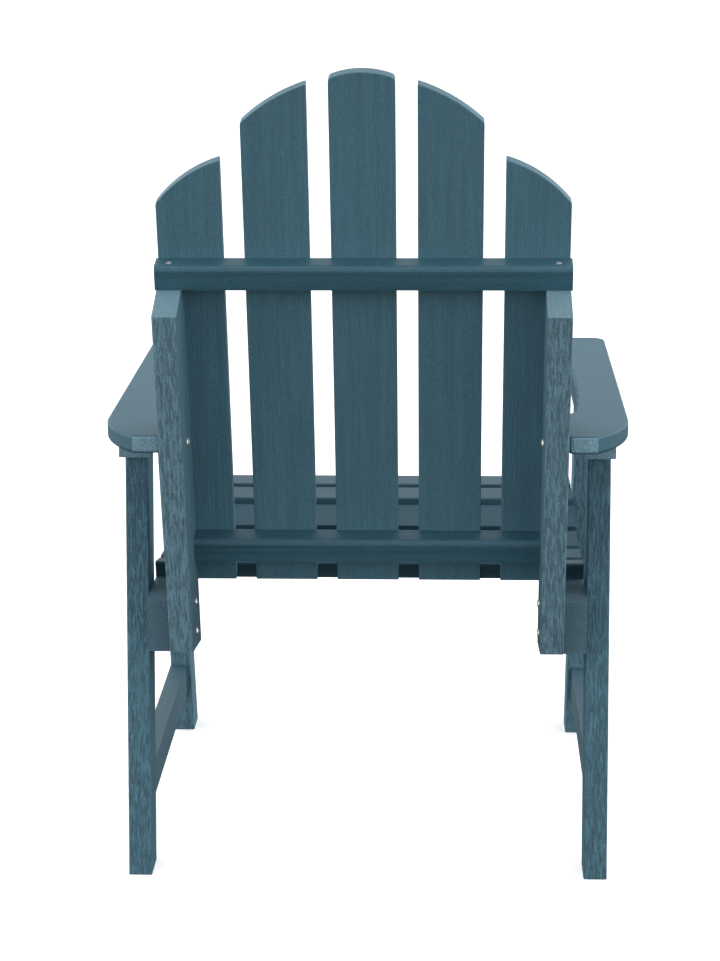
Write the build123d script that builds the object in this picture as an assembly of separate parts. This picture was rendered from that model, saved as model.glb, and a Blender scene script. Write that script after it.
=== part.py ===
# A deck armchair of fan-back (adirondack) style, made of plastic lumber boards and steel fasteners.
# Millimetres, +Z up, +X towards the sitter's left. The sitter faces -Y.
# The boards are laid out in a working frame whose Y origin is the back bottom edge of the rear legs.
# Every piece is moved at the end, so that the origin is on the floor under the middle of the chair.

import os
from math import hypot, sqrt
from build123d import *

# lumber
heavy_board = 28.9
thin_board = 22.0
leg_edge_radius = 2.2
board_edge_radius = 2.5

# back: slats on a plane that leans rearwards by this run per unit of rise
slat_width = 76.4
slat_gap = 25.3
slat_thickness = 18.0
back_lean = 0.2
back_plane_y = -66.0
back_plane_z = 500.0
slat_foot_z = 361.0
slat_corner_radius = 6.0
slat_edge_radius = 1.2
# heights of each top arc at the inner edge, the middle and the outer edge of a slat
centre_top = (994.4, 1001.8, 994.4)
second_top = (988.0, 971.2, 943.2)
outer_top = (899.8, 882.4, 848.2)

# back posts
post_inner_x = 212.9
post_depth = 88.9
post_foot_front_z = 275.0
post_foot_rear_z = 290.5
post_head_rear_z = 727.0

# back rails, square to the slats
rail_depth = 30.0
upper_rail_z = 754.0
upper_rail_half_length = 243.6
lower_rail_z = 401.5
rail_round = 7.0

# legs: run in Y per unit of rise, rear ones lean forwards and front ones lean rearwards
leg_inner_x = 270.6
leg_top_z = 525.6
leg_depth_y = 49.9
rear_leg_lean = -0.169
front_leg_foot_y = -502.6
front_leg_lean = 0.231

# seat: top edges of the slats from the front to the back, as (Y, Z) pairs that make a dished seat
seat_half_width = 270.6
seat_tops = (
    ((-533.0, 378.5), (-470.0, 382.8)),
    ((-460.0, 381.0), (-396.0, 383.0)),
    ((-386.0, 377.0), (-323.0, 365.0)),
    ((-313.0, 362.5), (-250.0, 359.5)),
    ((-240.0, 359.3), (-177.0, 366.0)),
    ((-167.0, 366.5), (-121.5, 375.0)),
)
last_slat_heel = (-126.0, 353.6)
seat_rail_low_z = 284.8
seat_rail_rear_y = -28.0
seat_rail_front_y = -527.0
apron_front_y = -520.0

# arms
arm_outer_x = 319.8
arm_front_y = -583.4
arm_front_inner_x = 229.8
arm_waist_x = 263.2
arm_rear_y = 0.8
arm_round_start_y = -97.0
arm_top_radius = 3.0
arm_under_radius = 5.0
arm_rail_width = 38.0
arm_rail_inner_x = 265.8
arm_rail_front_y = -560.0
arm_rail_rear_y = -65.0

# side stretchers near the floor
stretcher_low_z = 64.0
stretcher_high_z = 109.0

# fasteners
screw_head_radius = 4.2
screw_shank_radius = 2.2
bolt_head_radius = 5.9
bolt_head_height = 2.6
bolt_shank_radius = 3.0
dowel_radius = 4.0
hole_clearance = 0.05

post_outer_x = post_inner_x + heavy_board
leg_outer_x = leg_inner_x + heavy_board
arm_under_z = leg_top_z + thin_board
arm_top_z = arm_under_z + thin_board
lean_length = sqrt(1 + back_lean**2)
up_back = Vector(0, back_lean, 1) / lean_length
behind_back = Vector(0, 1, -back_lean) / lean_length

pieces = {}
fastener_groups = {}


def on_back(z, behind=0.0, x=0.0):
    # point at height z on the back plane, moved squarely behind that plane
    return Vector(x, back_plane_y + back_lean * (z - back_plane_z), z) + behind_back * behind


def flat(point):
    return (point.Y, point.Z)


def side_board(outline, x_start, thickness):
    # board cut to a (Y, Z) outline, its thickness along X
    face = Plane.YZ.offset(x_start) * make_face(Polyline(*outline, close=True))
    return extrude(face, thickness)


def edges_along(board, way):
    way = Vector(*way).normalized()
    return [e for e in board.edges() if abs((e @ 1 - e @ 0).normalized().dot(way)) > 0.999]


def add_pair(name, board):
    # the board is the left one, and its mirror image is the right one
    pieces[name + "_left"] = board
    pieces[name + "_right"] = mirror(board, about=Plane.YZ)


def turned(outline, start, way):
    # solid of revolution from (radius, distance along the way) points
    section = make_face(Plane.XZ * Polyline(*outline, close=True))
    return Plane(origin=start, z_dir=way) * revolve(section, Axis.Z)


def flat_screw(start, way, length, grow=0.0):
    # countersunk screw with its head flush at the start point
    head = screw_head_radius + grow
    shank = screw_shank_radius + grow
    end = length + grow
    outline = [(0, 0), (head, 0), (shank, 2.4), (shank, end - 4), (0, end)]
    return turned(outline, start, way)


def dome_bolt(start, way, length, grow=0.0):
    # round-headed bolt with the underside of its head at the start point
    head = bolt_head_radius + grow
    shank = bolt_shank_radius + grow
    rise = bolt_head_height
    crown = [(0, -rise), (head * 0.5, -rise * 0.92), (head * 0.82, -rise * 0.66), (head, -rise * 0.2)]
    return turned(crown + [(head, 0), (shank, 0), (shank, length + grow), (0, length + grow)], start, way)


def dowel(start, way, length, grow=0.0):
    radius = dowel_radius + grow
    return turned([(0, -grow), (radius, -grow), (radius, length + grow), (0, length + grow)], start, way)


def fasten(group, maker, start, way, length, names):
    # one fastener, and its hole in each board that it passes through
    way = Vector(*way).normalized()
    fastener_groups.setdefault(group, []).append(maker(start, way, length))
    hole = maker(start, way, length, hole_clearance)
    for name in names:
        pieces[name] = pieces[name] - hole


def fasten_both_sides(group, maker, start, way, length, names):
    # the same fastener on the left and on the right; names without a side are shared boards
    for side, suffix in ((1, "_left"), (-1, "_right")):
        here = (side * start[0], start[1], start[2])
        along = (side * way[0], way[1], way[2])
        sided = [name.replace("_side", suffix) for name in names]
        fasten(group, maker, here, along, length, sided)


# back slats, drawn flat on the back plane and thickened forwards
back_frame = Plane(origin=on_back(back_plane_z), x_dir=(1, 0, 0), z_dir=-behind_back)


def back_slat(x_low, top_heights):
    x_high = x_low + slat_width
    foot = (slat_foot_z - back_plane_z) * lean_length
    tops = [(z - back_plane_z) * lean_length for z in top_heights]
    lines = Line((x_low, tops[0]), (x_low, foot))
    lines += Line((x_low, foot), (x_high, foot))
    lines += Line((x_high, foot), (x_high, tops[2]))
    lines += ThreePointArc((x_high, tops[2]), ((x_low + x_high) / 2, tops[1]), (x_low, tops[0]))
    face = make_face(lines)
    # the low outer corner is rounded, the high inner corner of a side slat is left nearly sharp
    for corner in sorted(face.vertices(), key=lambda v: v.Y)[-2:]:
        inner = top_heights[0] > top_heights[2] and abs(corner.X - x_low) < 1
        spot = [v for v in face.vertices() if (Vector(v) - Vector(corner)).length < 0.01]
        face = fillet(spot, 1.5 if inner else slat_corner_radius)
    board = extrude(face, slat_thickness)
    rims = board.faces().sort_by(Axis.Z)[0].edges() + board.faces().sort_by(Axis.Z)[-1].edges()
    return back_frame * fillet(rims, slat_edge_radius)


slat_pitch = slat_width + slat_gap
for index, tops in ((3, centre_top), (4, second_top), (5, outer_top)):
    x_low = (index - 3) * slat_pitch - slat_width / 2
    pieces[f"back_slat_{index}"] = back_slat(x_low, tops)
for index in (4, 5):
    pieces[f"back_slat_{6 - index}"] = mirror(pieces[f"back_slat_{index}"], about=Plane.YZ)

# back posts: the slats screw to their front faces through the rails
depth_drop = post_depth * back_lean / lean_length
post_outline = [
    flat(on_back(post_foot_front_z)),
    flat(on_back(upper_rail_z)),
    flat(on_back(upper_rail_z, rail_depth)),
    flat(on_back(post_head_rear_z + depth_drop, post_depth)),
    flat(on_back(post_foot_rear_z + depth_drop, post_depth)),
]
post = side_board(post_outline, post_inner_x, heavy_board)
add_pair("back_post", fillet(edges_along(post, up_back), leg_edge_radius))


# back rails: the upper one lies across the post heads, the lower one fits between the posts
def back_rail(low_z, half_length):
    high_z = low_z + heavy_board / lean_length
    corners = [on_back(low_z), on_back(low_z, rail_depth), on_back(high_z, rail_depth), on_back(high_z)]
    rail = side_board([flat(corner) for corner in corners], -half_length, 2 * half_length)
    long_edges = edges_along(rail, (1, 0, 0))
    top_rear = [e for e in long_edges if hypot(e.center().Y - corners[2].Y, e.center().Z - corners[2].Z) < 1]
    return fillet(top_rear, rail_round)


pieces["upper_back_rail"] = back_rail(upper_rail_z, upper_rail_half_length)
pieces["lower_back_rail"] = back_rail(lower_rail_z, post_inner_x)


# legs
def leg(foot_y, lean):
    # foot_y is the rear face at the floor
    head_y = foot_y + lean * leg_top_z
    outline = [(foot_y, 0), (head_y, leg_top_z), (head_y - leg_depth_y, leg_top_z), (foot_y - leg_depth_y, 0)]
    board = side_board(outline, leg_inner_x, heavy_board)
    return fillet(edges_along(board, (0, lean, 1)), leg_edge_radius)


add_pair("rear_leg", leg(0.0, rear_leg_lean))
add_pair("front_leg", leg(front_leg_foot_y, front_leg_lean))


def leg_middle_y(foot_y, lean, z):
    return foot_y + lean * z - leg_depth_y / 2


# seat slats, and the seat rails whose upper edges follow their undersides
seat_unders = []
for index, ((y_front, z_front), (y_rear, z_rear)) in enumerate(seat_tops, start=1):
    run = hypot(y_rear - y_front, z_rear - z_front)
    down = ((z_rear - z_front) / run * thin_board, -(y_rear - y_front) / run * thin_board)
    under_front = (y_front + down[0], z_front + down[1])
    under_rear = (y_rear + down[0], z_rear + down[1])
    if index == len(seat_tops):
        under_rear = last_slat_heel
    seat_unders += [under_front, under_rear]
    outline = [(y_front, z_front), (y_rear, z_rear), under_rear, under_front]
    board = side_board(outline, -seat_half_width, 2 * seat_half_width)
    top_edges = [e for e in edges_along(board, (1, 0, 0)) if e.center().Z > (z_front + z_rear) / 2 - 6]
    pieces[f"seat_slat_{index}"] = fillet(top_edges, board_edge_radius)

rail_top = [(seat_rail_front_y, seat_unders[0][1])] + seat_unders[1:]
seat_rail_outline = rail_top + [
    (seat_rail_rear_y, last_slat_heel[1]),
    (seat_rail_rear_y - 8, seat_rail_low_z),
    (seat_rail_front_y + 14, seat_rail_low_z),
    (seat_rail_front_y, seat_rail_low_z + 14),
]
add_pair("seat_rail", side_board(seat_rail_outline, post_outer_x, leg_inner_x - post_outer_x))

apron_top_z = seat_unders[0][1]
apron_outline = [
    (apron_front_y, seat_rail_low_z),
    (apron_front_y, apron_top_z),
    (apron_front_y + thin_board, apron_top_z + 1.4),
    (apron_front_y + thin_board, seat_rail_low_z),
]
pieces["seat_front_apron"] = side_board(apron_outline, -post_outer_x, 2 * post_outer_x)

# side stretchers, their ends cut to the lean of the legs
stretcher_outline = [
    (rear_leg_lean * stretcher_low_z - leg_depth_y, stretcher_low_z),
    (rear_leg_lean * stretcher_high_z - leg_depth_y, stretcher_high_z),
    (front_leg_foot_y + front_leg_lean * stretcher_high_z, stretcher_high_z),
    (front_leg_foot_y + front_leg_lean * stretcher_low_z, stretcher_low_z),
]
add_pair("side_stretcher", side_board(stretcher_outline, leg_outer_x - thin_board, thin_board))

# arm rails lie flat on the leg heads, and the arms lie on them
arm_rail_base = Plane.XY.offset(leg_top_z)
rail_centre = (arm_rail_inner_x + arm_rail_width / 2, (arm_rail_front_y + arm_rail_rear_y) / 2)
rail_shape = Pos(*rail_centre) * Rectangle(arm_rail_width, arm_rail_rear_y - arm_rail_front_y)
add_pair("arm_rail", arm_rail_base * extrude(rail_shape, thin_board))


def arm_board():
    round_start = (arm_outer_x, arm_round_start_y)
    round_end = (arm_outer_x - 42.0, arm_rear_y)
    waist_front = (arm_waist_x, -386.0)
    waist_middle = (arm_waist_x + 1.0, -325.0)
    waist_rear = (arm_waist_x - 4.0, -139.0)
    hook = (post_outer_x, -107.0)
    lines = Line((arm_outer_x, arm_front_y), round_start)
    lines += RadiusArc(round_start, round_end, -134.0)
    lines += Line(round_end, (post_outer_x, arm_rear_y))
    lines += Line((post_outer_x, arm_rear_y), hook)
    lines += Line(hook, waist_rear)
    lines += ThreePointArc(waist_rear, waist_middle, waist_front)
    lines += Spline(waist_front, (arm_front_inner_x, -475.0), tangents=((-0.12, -1), (0, -1)))
    lines += Line((arm_front_inner_x, -475.0), (arm_front_inner_x, arm_front_y))
    lines += Line((arm_front_inner_x, arm_front_y), (arm_outer_x, arm_front_y))
    face = make_face(lines)
    corners = face.vertices()
    outer_front = [v for v in corners if v.X > arm_outer_x - 1 and v.Y < arm_front_y + 1]
    face = fillet(outer_front, 18.0)
    inner_front = [v for v in face.vertices() if v.X < arm_front_inner_x + 1 and v.Y < arm_front_y + 1]
    face = fillet(inner_front, 12.0)
    inner_rear = [v for v in face.vertices() if v.X < post_outer_x + 1 and v.Y > arm_rear_y - 1]
    face = fillet(inner_rear, 8.0)
    board = extrude(Plane.XY.offset(arm_under_z) * face, thin_board)
    board = fillet(board.faces().sort_by(Axis.Z)[-1].edges(), arm_top_radius)
    return fillet(board.faces().sort_by(Axis.Z)[0].edges(), arm_under_radius)


add_pair("arm", arm_board())

# seat slat screws: one in each end of each slat, down into the seat rails
screw_x = post_outer_x + heavy_board / 2
for index, ((y_front, z_front), (y_rear, z_rear)) in enumerate(seat_tops, start=1):
    head = (screw_x, (y_front + y_rear) / 2, (z_front + z_rear) / 2)
    down = (0, z_rear - z_front, y_front - y_rear)
    fasten_both_sides("seat_slat_screws", flat_screw, head, down, 45.0, [f"seat_slat_{index}", "seat_rail_side"])

# back slat screws: two through each slat into each rail, and the outermost low ones into the posts
for rail_name, rail_z in (("upper_back_rail", upper_rail_z), ("lower_back_rail", lower_rail_z)):
    for index in range(1, 6):
        for offset in (-19.0, 19.0):
            x = (index - 3) * slat_pitch + offset
            head = on_back(rail_z + heavy_board / 2, -slat_thickness, x)
            backing = rail_name
            if rail_name == "lower_back_rail" and abs(x) > post_inner_x:
                backing = "back_post_left" if x > 0 else "back_post_right"
            names = [f"back_slat_{index}", backing]
            fasten("back_slat_screws", flat_screw, tuple(head), tuple(behind_back), 38.0, names)

# screws down through the ends of the upper rail into the post heads
head = on_back(upper_rail_z + heavy_board / lean_length, rail_depth / 2, post_inner_x + heavy_board / 2)
fasten_both_sides(
    "upper_rail_screws", flat_screw, tuple(head), tuple(-up_back), 68.0, ["upper_back_rail", "back_post_side"]
)

# screws through the posts into the ends of the lower rail
for rise in (6.0, 23.0):
    head = on_back(lower_rail_z + rise, rail_depth / 2, post_outer_x)
    fasten_both_sides(
        "lower_rail_screws", flat_screw, tuple(head), (-1, 0, 0), 58.0, ["back_post_side", "lower_back_rail"]
    )

# bolts from the inside through each post, two into the seat rail and one into the edge of the arm
for y, z in ((-60.0, 342.0), (-62.0, 303.0)):
    fasten_both_sides(
        "post_seat_bolts", dome_bolt, (post_inner_x, y, z), (1, 0, 0), 54.0, ["back_post_side", "seat_rail_side"]
    )
fasten_both_sides(
    "post_arm_bolts", dome_bolt, (post_inner_x, -12.0, 558.6), (1, 0, 0), 66.0, ["back_post_side", "arm_side"]
)

# screws through the legs into the seat rails
for name, foot_y, lean in (("rear_leg", 0.0, rear_leg_lean), ("front_leg", front_leg_foot_y, front_leg_lean)):
    for z, step in ((305.0, -9.0), (333.0, 9.0)):
        head = (leg_outer_x, leg_middle_y(foot_y, lean, z) + step, z)
        fasten_both_sides("leg_screws", flat_screw, head, (-1, 0, 0), 52.0, [name + "_side", "seat_rail_side"])

# screws down through the arm rails into the leg heads, hidden under the arms
leg_middle_x = leg_inner_x + heavy_board / 2
for name, foot_y, lean in (("rear_leg", 0.0, rear_leg_lean), ("front_leg", front_leg_foot_y, front_leg_lean)):
    for step in (-12.0, 12.0):
        head = (leg_middle_x, leg_middle_y(foot_y, lean, leg_top_z) + step, arm_under_z)
        fasten_both_sides("arm_rail_screws", flat_screw, head, (0, 0, -1), 62.0, ["arm_rail_side", name + "_side"])

# screws up through the arm rails into the arms
for y in (-85.0, -200.0, -300.0, -490.0):
    head = (leg_middle_x, y, leg_top_z)
    fasten_both_sides("arm_screws", flat_screw, head, (0, 0, 1), 37.0, ["arm_rail_side", "arm_side"])

# screws through the seat rails into the ends of the apron
for z in (305.0, 338.0):
    head = (leg_inner_x, apron_front_y + thin_board / 2, z)
    fasten_both_sides("apron_screws", flat_screw, head, (-1, 0, 0), 60.0, ["seat_rail_side", "seat_front_apron"])

# dowels between the stretchers and the legs
for z in (stretcher_low_z + 12.0, stretcher_high_z - 12.0):
    for name, foot_y, lean, way in (
        ("rear_leg", -leg_depth_y, rear_leg_lean, 1),
        ("front_leg", front_leg_foot_y, front_leg_lean, -1),
    ):
        start = (leg_outer_x - thin_board / 2, foot_y + lean * z - 25.0 * way, z)
        names = ["side_stretcher_side", name + "_side"]
        fasten_both_sides("stretcher_dowels", dowel, start, (0, way, 0), 50.0, names)

# origin on the floor under the middle of the chair's box
boxes = [piece.bounding_box() for piece in pieces.values()]
low_y = min(box.min.Y for box in boxes)
high_y = max(box.max.Y for box in boxes)
shift = -(low_y + high_y) / 2
print("pieces", len(pieces), "shift in Y", round(shift, 3), "depth", round(high_y - low_y, 2))

os.makedirs("parts", exist_ok=True)
for name, piece in pieces.items():
    export_step(Pos(0, shift, 0) * piece, f"parts/{name}.step")
for group, solids in fastener_groups.items():
    export_step(Compound([Pos(0, shift, 0) * solid for solid in solids]), f"parts/{group}.step")
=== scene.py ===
import math
import random

import bpy
import numpy as np
from mathutils import Matrix, Vector


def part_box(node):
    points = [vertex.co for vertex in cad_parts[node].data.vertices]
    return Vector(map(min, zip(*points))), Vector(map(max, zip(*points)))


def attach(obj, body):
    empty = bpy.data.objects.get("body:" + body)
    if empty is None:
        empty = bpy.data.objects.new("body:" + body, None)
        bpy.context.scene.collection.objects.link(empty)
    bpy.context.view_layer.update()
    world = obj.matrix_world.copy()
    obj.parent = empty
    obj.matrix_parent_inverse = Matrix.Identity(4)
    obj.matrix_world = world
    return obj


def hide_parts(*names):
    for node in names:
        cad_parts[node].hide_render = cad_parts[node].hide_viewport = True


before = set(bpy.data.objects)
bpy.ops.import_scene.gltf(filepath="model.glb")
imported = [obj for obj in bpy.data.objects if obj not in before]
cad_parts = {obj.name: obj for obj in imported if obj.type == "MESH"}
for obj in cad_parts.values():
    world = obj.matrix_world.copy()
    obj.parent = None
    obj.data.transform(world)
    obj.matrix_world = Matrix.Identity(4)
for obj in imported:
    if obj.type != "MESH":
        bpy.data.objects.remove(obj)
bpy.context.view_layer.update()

print("chair: frame loaded,", len(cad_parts), "nodes")
random.seed(41)

# how the boards lean, as run in Y for each unit of height
backSlope = 0.2
backLean = math.atan(backSlope)
rearLegLean = math.atan(-0.169)
frontLegLean = math.atan(0.231)

# one entry for each kind of board: how it was embossed, and its colour, which is a lit or shaded copy of one board
# colour: painted shade on the rails, seat and rear legs, painted light on the posts and front legs
lumberKinds = {
    "slat": dict(colour=(0.047, 0.133, 0.178), turn=(backLean, 0, 0), along="z", lineSize=0.0012, lineLength=0.10,
                 lineDepth=0.00018, lineTone=0.26, waves=0.45, coarse=0.0, rough=0.60, gloss=0.62, paintedSheen=0.02,
                 sawnEndPaintedLight=1.0),
    "post": dict(colour=(0.062, 0.158, 0.210), turn=(backLean, 0, 0), along="z", lineSize=0.0012, lineLength=0.10,
                 lineDepth=0.00014, lineTone=0.30, waves=0.5, coarse=1.0, rough=0.62, gloss=0.8, paintedSheen=0.05,
                 sawnEndPaintedLight=1.25),
    "rearLeg": dict(colour=(0.038, 0.118, 0.162), turn=(rearLegLean, 0, 0), along="z", lineSize=0.0012,
                    lineLength=0.10, lineDepth=0.00014, lineTone=0.30, waves=0.5, coarse=1.0, rough=0.62, gloss=0.5,
                    paintedSheen=0.01, sawnEndPaintedLight=1.0),
    "frontLeg": dict(colour=(0.064, 0.176, 0.236), turn=(frontLegLean, 0, 0), along="z", lineSize=0.0012,
                     lineLength=0.10, lineDepth=0.00014, lineTone=0.30, waves=0.5, coarse=1.0, rough=0.62, gloss=0.9,
                     paintedSheen=0.03, sawnEndPaintedLight=1.0),
    "rail": dict(colour=(0.029, 0.088, 0.120), turn=(0, 0, 0), along="x", lineSize=0.0015, lineLength=0.24,
                 lineDepth=0.00010, lineTone=0.40, waves=0.0, coarse=0.0, rough=0.46, gloss=0.30, paintedSheen=0.03,
                 sawnEndPaintedLight=1.35),
    "seat": dict(colour=(0.026, 0.077, 0.106), turn=(0, 0, 0), along="x", lineSize=0.0012, lineLength=0.16,
                 lineDepth=0.00016, lineTone=0.40, waves=0.5, coarse=0.0, rough=0.62, gloss=0.30, paintedSheen=0.0,
                 sawnEndPaintedLight=1.0),
    "side": dict(colour=(0.045, 0.122, 0.164), turn=(0, 0, 0), along="y", lineSize=0.0013, lineLength=0.14,
                 lineDepth=0.00014, lineTone=0.28, waves=0.4, coarse=0.0, rough=0.58, gloss=0.7, paintedSheen=0.02,
                 sawnEndPaintedLight=1.05),
    "arm": dict(colour=(0.037, 0.108, 0.148), turn=(0, 0, 0), along="y", lineSize=0.0022, lineLength=0.07,
                lineDepth=0.00006, lineTone=0.12, waves=0.0, coarse=0.0, rough=0.60, gloss=0.38, paintedSheen=0.15,
                sawnEndPaintedLight=2.3),
}


class Graph:
    # wires the nodes of one material, or of the world
    def __init__(self, owner):
        owner.use_nodes = True
        self.owner = owner
        self.tree = owner.node_tree
        self.tree.nodes.clear()
        if isinstance(owner, bpy.types.World):
            self.out = self.add("ShaderNodeOutputWorld")
            self.shader = self.add("ShaderNodeBackground")
        else:
            self.out = self.add("ShaderNodeOutputMaterial")
            self.shader = self.add("ShaderNodeBsdfPrincipled")
        self.tree.links.new(self.shader.outputs[0], self.out.inputs[0])

    def add(self, kind, inputs=None, **settings):
        node = self.tree.nodes.new(kind)
        for key, value in settings.items():
            setattr(node, key, value)
        for key, value in (inputs or {}).items():
            self.feed(value, node.inputs[key])
        return node

    def feed(self, value, socket):
        if isinstance(value, bpy.types.NodeSocket):
            self.tree.links.new(value, socket)
        else:
            socket.default_value = value

    def math(self, operation, a, b=0.0, clamp=False):
        node = self.add("ShaderNodeMath", {0: a, 1: b}, operation=operation, use_clamp=clamp)
        return node.outputs[0]

    def ramp(self, value, low, high, toLow=0.0, toHigh=1.0):
        inputs = {"Value": value, "From Min": low, "From Max": high, "To Min": toLow, "To Max": toHigh}
        return self.add("ShaderNodeMapRange", inputs, clamp=True, interpolation_type="SMOOTHSTEP").outputs[0]

    def mixNumber(self, factor, a, b):
        return self.add("ShaderNodeMix", {0: factor, 2: a, 3: b}, data_type="FLOAT").outputs[0]

    def noise(self, vector, detail=3.0, roughness=0.55, distortion=0.0):
        inputs = {"Vector": vector, "Scale": 1.0, "Detail": detail, "Roughness": roughness, "Distortion": distortion}
        return self.add("ShaderNodeTexNoise", inputs).outputs["Fac"]

    def place(self, vector, turn=(0, 0, 0), scale=(1, 1, 1), shift=(0, 0, 0)):
        inputs = {"Vector": vector, "Rotation": turn, "Scale": scale, "Location": shift}
        return self.add("ShaderNodeMapping", inputs).outputs[0]

    def blend(self, factor, a, b):
        node = self.add("ShaderNodeMix", data_type="RGBA")
        self.feed(factor, node.inputs[0])
        self.feed(a, node.inputs[6])
        self.feed(b, node.inputs[7])
        return node.outputs[2]


def stretched(along, size, length):
    # cycles per metre across and along the board
    scale = [1.0 / size] * 3
    scale["xyz".index(along)] = 1.0 / length
    return tuple(scale)


# the grey added on top of the scaled colour is a painted sheen
def tinted(colour, factor, paintedSheen=0.0):
    return (colour[0] * factor + paintedSheen, colour[1] * factor + paintedSheen, colour[2] * factor + paintedSheen, 1.0)


# shared by every kind of board; sizes and depths are in metres
# the edge radius, tone and colour at the end of this table make a painted highlight along the edges
lumberPattern = dict(waveSpacing=0.0044, waveSway=26.0, waveTone=0.42, waveDepth=0.00030, crackSize=(0.0042, 0.038),
                     ribSize=(0.0026, 0.018), strandDepth=0.00075, fleckScale=520, cellScale=420, paleScale=610,
                     cellDepth=0.00022, endLight=(0.058, 0.136, 0.176), endDark=(0.036, 0.098, 0.132),
                     edgeHighlightRadius=0.0022, edgeHighlightTone=0.34, edgeHighlightColour=(0.110, 0.205, 0.250), bumpStrength=0.85)


def lumberMaterial(name, kind):
    # moulded lumber: embossed lines along the board, drifting colour, speckled sawn ends lightened by painted light,
    # and painted highlights along the edges
    g = Graph(bpy.data.materials.new(name))
    pattern = lumberPattern
    tone = random.uniform(0.965, 1.035)
    shift = tuple(random.uniform(-3, 3) for _ in range(3))
    along = kind["along"]
    coordinates = g.add("ShaderNodeTexCoord")
    place = g.place(coordinates.outputs["Object"], turn=kind["turn"], shift=shift)

    # the line pattern pressed into the broad faces
    lines = g.noise(g.place(place, scale=stretched(along, kind["lineSize"], kind["lineLength"])), 4.0, 0.6)
    bands = g.noise(g.place(place, scale=stretched(along, kind["lineSize"] * 7, kind["lineLength"] * 3)), 2.0, 0.5)
    lineMark = g.math("ADD", g.math("MULTIPLY", lines, 0.7), g.math("MULTIPLY", bands, 0.3))
    # wavy grain: the sine of the way across the board, pushed about by a slow noise
    sway = g.noise(g.place(place, scale=stretched(along, 0.030, 0.055)), 2.0, 0.5)
    across = g.add("ShaderNodeSeparateXYZ", {0: place}).outputs[1 if along == "x" else 0]
    phase = g.math("ADD", g.math("MULTIPLY", across, 2 * math.pi / pattern["waveSpacing"]),
                   g.math("MULTIPLY", sway, pattern["waveSway"]))
    wave = g.math("MULTIPLY", g.math("ADD", g.math("SINE", phase), 1.0), 0.5)
    faint = g.ramp(g.noise(g.place(place, scale=stretched(along, 0.012, 0.08)), 2.0, 0.5), 0.35, 0.62)
    grain = g.math("MULTIPLY", g.math("MULTIPLY", wave, faint), kind["waves"])

    # the deep bark-like strands of the moulded narrow faces: dark cracks between raised ribs
    wander = g.noise(g.place(place, scale=stretched(along, *pattern["crackSize"])), 3.0, 0.55, 0.25)
    cracks = g.ramp(g.math("ABSOLUTE", g.math("SUBTRACT", wander, 0.5)), 0.002, 0.036)
    ribs = g.noise(g.place(place, scale=stretched(along, *pattern["ribSize"])), 3.0, 0.62, 0.15)
    ribMark = g.ramp(ribs, 0.38, 0.60)
    strandMark = g.math("MULTIPLY", g.math("ADD", g.math("MULTIPLY", cracks, 0.60), 0.40),
                        g.math("ADD", g.math("MULTIPLY", ribMark, 0.72), 0.28))

    # face masks from the face normal: narrow faces of upright boards look along Y, sawn ends along the board
    normal = g.place(coordinates.outputs["Normal"], turn=kind["turn"])
    parts = g.add("ShaderNodeSeparateXYZ", {0: normal})
    narrow = g.math("MULTIPLY", g.ramp(g.math("ABSOLUTE", parts.outputs[1]), 0.45, 0.85), kind["coarse"])
    sawn = g.ramp(g.math("ABSOLUTE", parts.outputs["xyz".index(along)]), 0.72, 0.9)

    drift = g.noise(g.place(place, scale=(5, 5, 5)), 3.0, 0.5)
    flecks = g.noise(g.place(place, scale=[pattern["fleckScale"]] * 3), 3.0, 0.7)
    cells = g.noise(g.place(place, scale=[pattern["cellScale"]] * 3), 4.0, 0.7)

    # the kind's colour is a lit or shaded copy of the board colour: painted light or painted shade
    base = tinted(kind["colour"], tone)
    dark = g.blend(kind["lineTone"], base, tinted(kind["colour"], tone * 0.45))
    light = g.blend(kind["lineTone"], base, tinted(kind["colour"], tone * 1.75))
    colour = g.blend(g.ramp(lineMark, 0.34, 0.66), dark, light)
    colour = g.blend(g.math("MULTIPLY", grain, pattern["waveTone"]), colour, tinted(kind["colour"], tone * 0.40))
    deep = tinted(kind["colour"], tone * 0.36)
    # the raised strands' light tone carries a painted sheen as well
    high = tinted(kind["colour"], tone * 1.46, kind["paintedSheen"])
    colour = g.blend(narrow, colour, g.blend(strandMark, deep, high))
    # sawn ends made lighter per kind, most on the arms: painted light, with a painted sheen
    endLight = tinted(pattern["endLight"], tone * kind["sawnEndPaintedLight"], kind["paintedSheen"])
    endDark = tinted(pattern["endDark"], tone * kind["sawnEndPaintedLight"], kind["paintedSheen"] * 0.8)
    colour = g.blend(sawn, colour, g.blend(g.ramp(cells, 0.38, 0.62), endDark, endLight))
    colour = g.blend(g.ramp(drift, 0.3, 0.7, 0.0, 0.16), colour, tinted(kind["colour"], tone * 1.45))
    colour = g.blend(g.ramp(flecks, 0.42, 0.60, 0.0, 0.40), colour, tinted(kind["colour"], tone * 0.60))
    pale = g.noise(g.place(place, scale=[pattern["paleScale"]] * 3), 2.0, 0.6)
    colour = g.blend(g.ramp(pale, 0.52, 0.68, 0.0, 0.30), colour, tinted(kind["colour"], tone * 1.7, 0.02))

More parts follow.
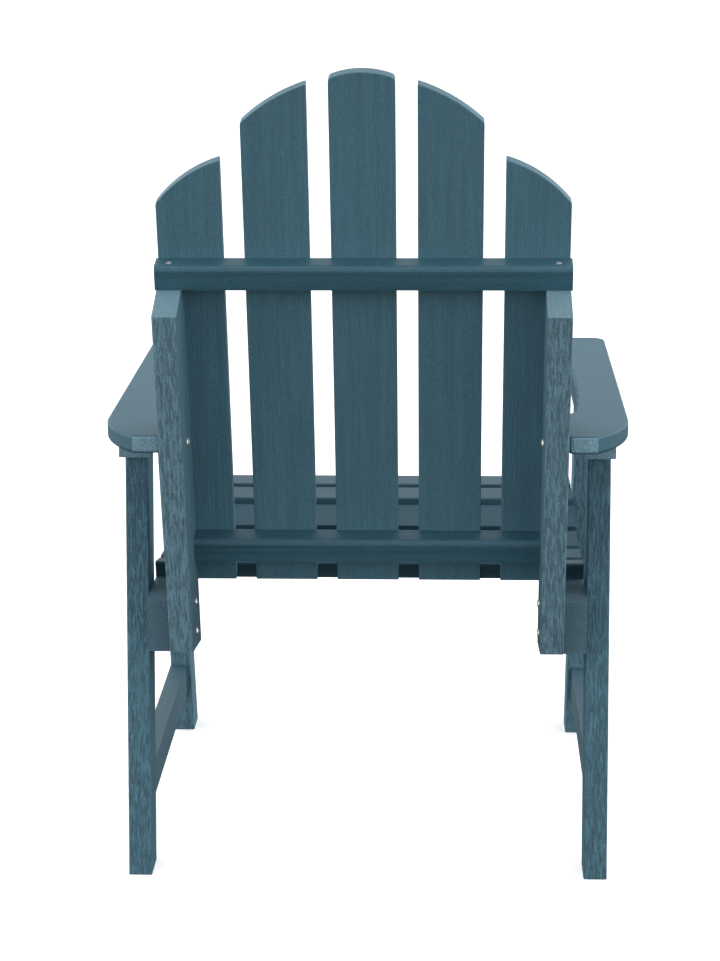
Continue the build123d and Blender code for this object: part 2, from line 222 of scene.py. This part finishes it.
    # painted edge highlight: a lighter colour, patchy along each edge, where the softened normal leaves the true one
    geometry = g.add("ShaderNodeNewGeometry")
    soft = g.add("ShaderNodeBevel", {"Radius": pattern["edgeHighlightRadius"]}, samples=4).outputs[0]
    same = g.add("ShaderNodeVectorMath", {0: soft, 1: geometry.outputs["Normal"]}, operation="DOT_PRODUCT")
    edge = g.ramp(g.math("SUBTRACT", 1.0, same.outputs["Value"]), 0.015, 0.16)
    patchy = g.ramp(g.noise(g.place(place, scale=(90, 90, 90)), 3.0, 0.6), 0.34, 0.62, 0.15, 1.0)
    edgeHighlight = g.math("MULTIPLY", edge, patchy)
    colour = g.blend(g.math("MULTIPLY", edgeHighlight, pattern["edgeHighlightTone"]), colour, tinted(pattern["edgeHighlightColour"], tone))
    g.feed(colour, g.shader.inputs["Base Color"])

    gloss = g.math("ADD", kind["rough"] - 0.07, g.math("MULTIPLY", lineMark, 0.14))
    gloss = g.math("ADD", gloss, g.math("MULTIPLY", sawn, 0.12))
    gloss = g.math("SUBTRACT", gloss, g.math("MULTIPLY", edgeHighlight, 0.10), clamp=True)
    g.feed(gloss, g.shader.inputs["Roughness"])
    g.shader.inputs["Specular IOR Level"].default_value = kind["gloss"]

    lineHeight = g.math("MULTIPLY", g.math("ADD", lineMark, g.math("MULTIPLY", flecks, 0.5)), kind["lineDepth"])
    lineHeight = g.math("SUBTRACT", lineHeight, g.math("MULTIPLY", grain, pattern["waveDepth"]))
    strandHeight = g.math("MULTIPLY", strandMark, pattern["strandDepth"])
    height = g.mixNumber(narrow, lineHeight, strandHeight)
    height = g.mixNumber(sawn, height, g.math("MULTIPLY", cells, pattern["cellDepth"]))
    bump = g.add("ShaderNodeBump", {"Height": height, "Distance": 1.0, "Strength": pattern["bumpStrength"]})
    g.tree.links.new(bump.outputs[0], g.shader.inputs["Normal"])
    return g.owner


steelKinds = {
    "stainlessSteel": dict(colour=(0.82, 0.79, 0.77), rough=0.30),
    "coatedSteel": dict(colour=(0.10, 0.15, 0.18), rough=0.48),   # coated to match the boards
}


def steelMaterial(name):
    # satin steel: fine even tool marks and a light, patchy tarnish
    colour, rough = steelKinds[name]["colour"], steelKinds[name]["rough"]
    g = Graph(bpy.data.materials.new(name))
    coordinates = g.add("ShaderNodeTexCoord").outputs["Object"]
    marks = g.noise(g.place(coordinates, scale=(2600, 2600, 2600)), 2.0, 0.5)
    stain = g.noise(g.place(coordinates, scale=(240, 240, 240)), 4.0, 0.65)
    bare = (*colour, 1.0)
    tarnish = (colour[0] * 0.62, colour[1] * 0.50, colour[2] * 0.44, 1.0)
    g.feed(g.blend(g.ramp(stain, 0.48, 0.75, 0.0, 0.35), bare, tarnish), g.shader.inputs["Base Color"])
    g.shader.inputs["Metallic"].default_value = 1.0
    g.feed(g.math("ADD", rough, g.math("MULTIPLY", g.math("ADD", marks, stain), 0.12)), g.shader.inputs["Roughness"])
    bump = g.add("ShaderNodeBump", {"Height": g.math("MULTIPLY", marks, 0.00003), "Distance": 1.0, "Strength": 0.5})
    g.tree.links.new(bump.outputs[0], g.shader.inputs["Normal"])
    return g.owner


def kindOf(node):
    starts = (("back_slat_screws", None), ("back_slat", "slat"), ("back_post", "post"), ("rear_leg", "rearLeg"),
              ("front_leg", "frontLeg"), ("upper_back_rail", "rail"), ("lower_back_rail", "rail"),
              ("seat_slat_screws", None), ("seat_slat", "seat"), ("seat_front_apron", "seat"), ("seat_rail", "side"),
              ("side_stretcher", "side"), ("arm_screws", None), ("arm_rail_screws", None), ("arm", "arm"))
    for start, kind in starts:
        if node.startswith(start):
            return kind
    return None


steel = steelMaterial("stainlessSteel")
dullSteel = steelMaterial("coatedSteel")


def dress(piece, material):
    if not piece.material_slots:
        piece.data.materials.append(material)
    for slot in piece.material_slots:
        slot.material = material


# the fasteners that show get turned heads with a driver recess; their hidden shanks are cut short
headSides = 24
screwHeadRadius = 0.0042      # of the solids' screws, to find the head's middle from its box
headShapes = {
    # rings from the bottom of the recess outwards and down the shank: radius, height, share of the recess shape
    "bolt": dict(corners=6, rings=((0.0021, 0.0004, 1.0), (0.0022, 0.0024, 1.0), (0.0027, 0.0026, 0.5),
                                   (0.0038, 0.0024, 0.0), (0.0050, 0.0017, 0.0), (0.0058, 0.0007, 0.0),
                                   (0.0059, 0.0, 0.0), (0.0030, 0.0, 0.0), (0.0030, -0.030, 0.0))),
    "screw": dict(corners=4, rings=((0.0013, -0.0020, 1.0), (0.0016, -0.0002, 1.0), (0.0020, 0.0, 0.5),
                                    (0.0030, 0.00012, 0.0), (0.0035, 0.0, 0.0), (0.0036, -0.0003, 0.0),
                                    (0.0022, -0.0025, 0.0), (0.0022, -0.020, 0.0))),
}


def fastenerHeads(name, shape, placed, material, replaced):
    # each head is a profile turned about its axis; near the middle the circle is squeezed to the recess polygon:
    # radius times (1 + share * (cos(pi/n) / cos(angle mod 2pi/n - pi/n) - 1))
    rings = np.array(shape["rings"])
    turns = np.linspace(0, 2 * np.pi, headSides, endpoint=False)
    step = np.pi / shape["corners"]
    polygon = np.cos(step) / np.cos(np.mod(turns, 2 * step) - step)
    radius = rings[:, :1] * (1 + rings[:, 2:] * (polygon[None, :] - 1))
    rise = np.repeat(rings[:, 1:2], headSides, 1)
    grid = np.stack((radius * np.cos(turns), radius * np.sin(turns), rise), axis=2)
    poles = np.array(((0, 0, rings[0, 1]), (0, 0, rings[-1, 1])))
    local = np.concatenate((grid.reshape(-1, 3), poles))
    column = np.arange(headSides)
    after = (column + 1) % headSides
    ring = np.arange(len(rings) - 1)[:, None] * headSides
    below = ring + headSides
    quads = np.stack((ring + column, below + column, below + after, ring + after), axis=2).reshape(-1, 4)
    last = (len(rings) - 1) * headSides
    firstPole, lastPole = len(local) - 2, len(local) - 1
    fans = np.concatenate((np.stack((np.full(headSides, firstPole), column, after), axis=1),
                           np.stack((np.full(headSides, lastPole), last + after, last + column), axis=1)))
    points, faces = [], []
    for index, (spot, out) in enumerate(placed):
        out = Vector(out).normalized()
        across = out.orthogonal().normalized()
        basis = np.array((across, out.cross(across), out))
        points.append(local @ basis + np.array(spot))
        base = index * len(local)
        faces += (quads + base).tolist() + (fans + base).tolist()
    mesh = bpy.data.meshes.new(name)
    mesh.from_pydata(np.concatenate(points).tolist(), [], faces)
    mesh.materials.append(material)
    piece = bpy.data.objects.new(name, mesh)
    bpy.context.scene.collection.objects.link(piece)
    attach(piece, "root")
    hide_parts(replaced)


def onBothSides(spot, out):
    # the same place and direction at the left and the right of the chair
    return [((side * spot[0], spot[1], spot[2]), (side * out[0], out[1], out[2])) for side in (1, -1)]


# where the solids' heads are: Y and Z pairs, with Y counted from the back of the rear feet at rearFeetY
fastenerPlaces = dict(rearFeetY=0.25667, postInnerX=0.2129, seatBolts=((-0.060, 0.342), (-0.062, 0.303)),
                      armBolts=((-0.012, 0.5586),))


def boltSpots(places):
    spots = []
    for y, z in places:
        spots += onBothSides((fastenerPlaces["postInnerX"], y + fastenerPlaces["rearFeetY"], z), (-1, 0, 0))
    return spots


def makeFasteners():
    bolt, screw = headShapes["bolt"], headShapes["screw"]
    fastenerHeads("postSeatBoltHeads", bolt, boltSpots(fastenerPlaces["seatBolts"]), steel, "post_seat_bolts")
    fastenerHeads("postArmBoltHeads", bolt, boltSpots(fastenerPlaces["armBolts"]), steel, "post_arm_bolts")
    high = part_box("upper_rail_screws")[1]
    lean = Vector((0, backSlope, 1)).normalized()
    top = (high[0] - screwHeadRadius, high[1] - screwHeadRadius * lean[2], high[2] - screwHeadRadius * lean[1])
    fastenerHeads("railScrewHeads", screw, onBothSides(top, lean), steel, "upper_rail_screws")


makeFasteners()
print("chair: fastener heads made")

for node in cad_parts:
    kind = kindOf(node)
    piece = bpy.data.objects[node]
    if kind is None:
        dress(piece, dullSteel if node == "seat_slat_screws" else steel)
    else:
        dress(piece, lumberMaterial("lumber_" + node, lumberKinds[kind]))
print("chair: materials on", len(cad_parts), "nodes")

# glows are the sky's strength towards each side, overhead and below the horizon
studio = dict(floorSize=60.0, floorColour=(0.93, 0.935, 0.94), floorLift=0.42, sideGlow=4.0, frontGlow=1.5,
              rearGlow=1.45, zenithGlow=0.62, underGlow=0.035, glowTint=(0.985, 0.995, 1.0), topPower=30.0,
              topSize=2.4, topHeight=3.4)


def makeFloor():
    half = studio["floorSize"] / 2
    mesh = bpy.data.meshes.new("floor")
    mesh.from_pydata([(-half, -half, 0), (half, -half, 0), (half, half, 0), (-half, half, 0)], [], [(0, 1, 2, 3)])
    floor = bpy.data.objects.new("floor", mesh)
    bpy.context.scene.collection.objects.link(floor)
    g = Graph(bpy.data.materials.new("paleFloor"))
    tint = g.noise(g.place(g.add("ShaderNodeTexCoord").outputs["Object"], scale=(1.5, 1.5, 1.5)), 2.0, 0.5)
    pale = (*studio["floorColour"], 1.0)
    g.feed(g.blend(g.ramp(tint, 0.3, 0.7, 0.0, 0.05), pale, (0.8, 0.8, 0.8, 1)), g.shader.inputs["Base Color"])
    g.shader.inputs["Roughness"].default_value = 0.9
    g.shader.inputs["Emission Color"].default_value = (1, 1, 1, 1)
    g.shader.inputs["Emission Strength"].default_value = studio["floorLift"]
    g.shader.inputs["Specular IOR Level"].default_value = 0.1
    mesh.materials.append(g.owner)
    floor.visible_diffuse = False      # the floor takes shadows and throws no light back up
    floor.visible_glossy = False


def areaLight(name, place, target, size, power):
    data = bpy.data.lights.new(name, "AREA")
    data.shape = "RECTANGLE"
    data.size, data.size_y = size
    data.energy = power
    light = bpy.data.objects.new(name, data)
    light.location = place
    light.rotation_euler = (Vector(target) - Vector(place)).to_track_quat("-Z", "Y").to_euler()
    bpy.context.scene.collection.objects.link(light)


def makeStudio():
    world = bpy.data.worlds.new("studioWorld")
    g = Graph(world)
    way = g.add("ShaderNodeSeparateXYZ", {0: g.add("ShaderNodeTexCoord").outputs["Generated"]}).outputs
    aside = g.math("MULTIPLY", g.math("POWER", g.math("ABSOLUTE", way[0]), 2.0), studio["sideGlow"])
    ahead = g.math("MULTIPLY", g.math("POWER", g.math("MAXIMUM", g.math("MULTIPLY", way[1], -1.0), 0.0), 2.0),
                   studio["frontGlow"])
    behind = g.math("MULTIPLY", g.math("POWER", g.math("MAXIMUM", way[1], 0.0), 2.0), studio["rearGlow"])
    around = g.math("ADD", g.math("ADD", aside, ahead), behind)
    overhead = g.ramp(way[2], 0.25, 0.8)
    glow = g.mixNumber(overhead, around, studio["zenithGlow"])
    floorGlow = g.ramp(way[2], -0.08, 0.03, studio["underGlow"], 1.0)
    g.feed((*studio["glowTint"], 1.0), g.shader.inputs["Color"])
    g.feed(g.math("MULTIPLY", glow, floorGlow), g.shader.inputs["Strength"])
    bpy.context.scene.world = world
    areaLight("topLight", (0.0, 0.6, studio["topHeight"]), (0, 0, 0.4), (studio["topSize"], studio["topSize"]),
              studio["topPower"])
    bpy.context.scene.view_settings.view_transform = "Standard"


# behind the chair, a little to the sitter's right, looking down at it; angles in radians
cameraView = dict(place=(-0.10295, 2.96707, 1.2511), yaw=-0.040017, pitch=0.26493, roll=0.0064123, lens=117.5,
                  sensor=36.0)


def makeCamera():
    yaw, pitch, roll = cameraView["yaw"], cameraView["pitch"], cameraView["roll"]
    forward = Vector((-math.sin(yaw) * math.cos(pitch), -math.cos(yaw) * math.cos(pitch), -math.sin(pitch)))
    side = forward.cross(Vector((0, 0, 1))).normalized()
    down = forward.cross(side)
    right = side * math.cos(roll) + down * math.sin(roll)
    low = down * math.cos(roll) - side * math.sin(roll)
    data = bpy.data.cameras.new("camera")
    data.sensor_fit = "HORIZONTAL"
    data.sensor_width = cameraView["sensor"]
    data.lens = cameraView["lens"]
    camera = bpy.data.objects.new("camera", data)
    turn = Matrix((right, -low, -forward)).transposed()
    camera.matrix_world = Matrix.Translation(cameraView["place"]) @ turn.to_4x4()
    bpy.context.scene.collection.objects.link(camera)
    bpy.context.scene.camera = camera


makeFloor()
makeStudio()
makeCamera()
print("chair: studio and camera ready")
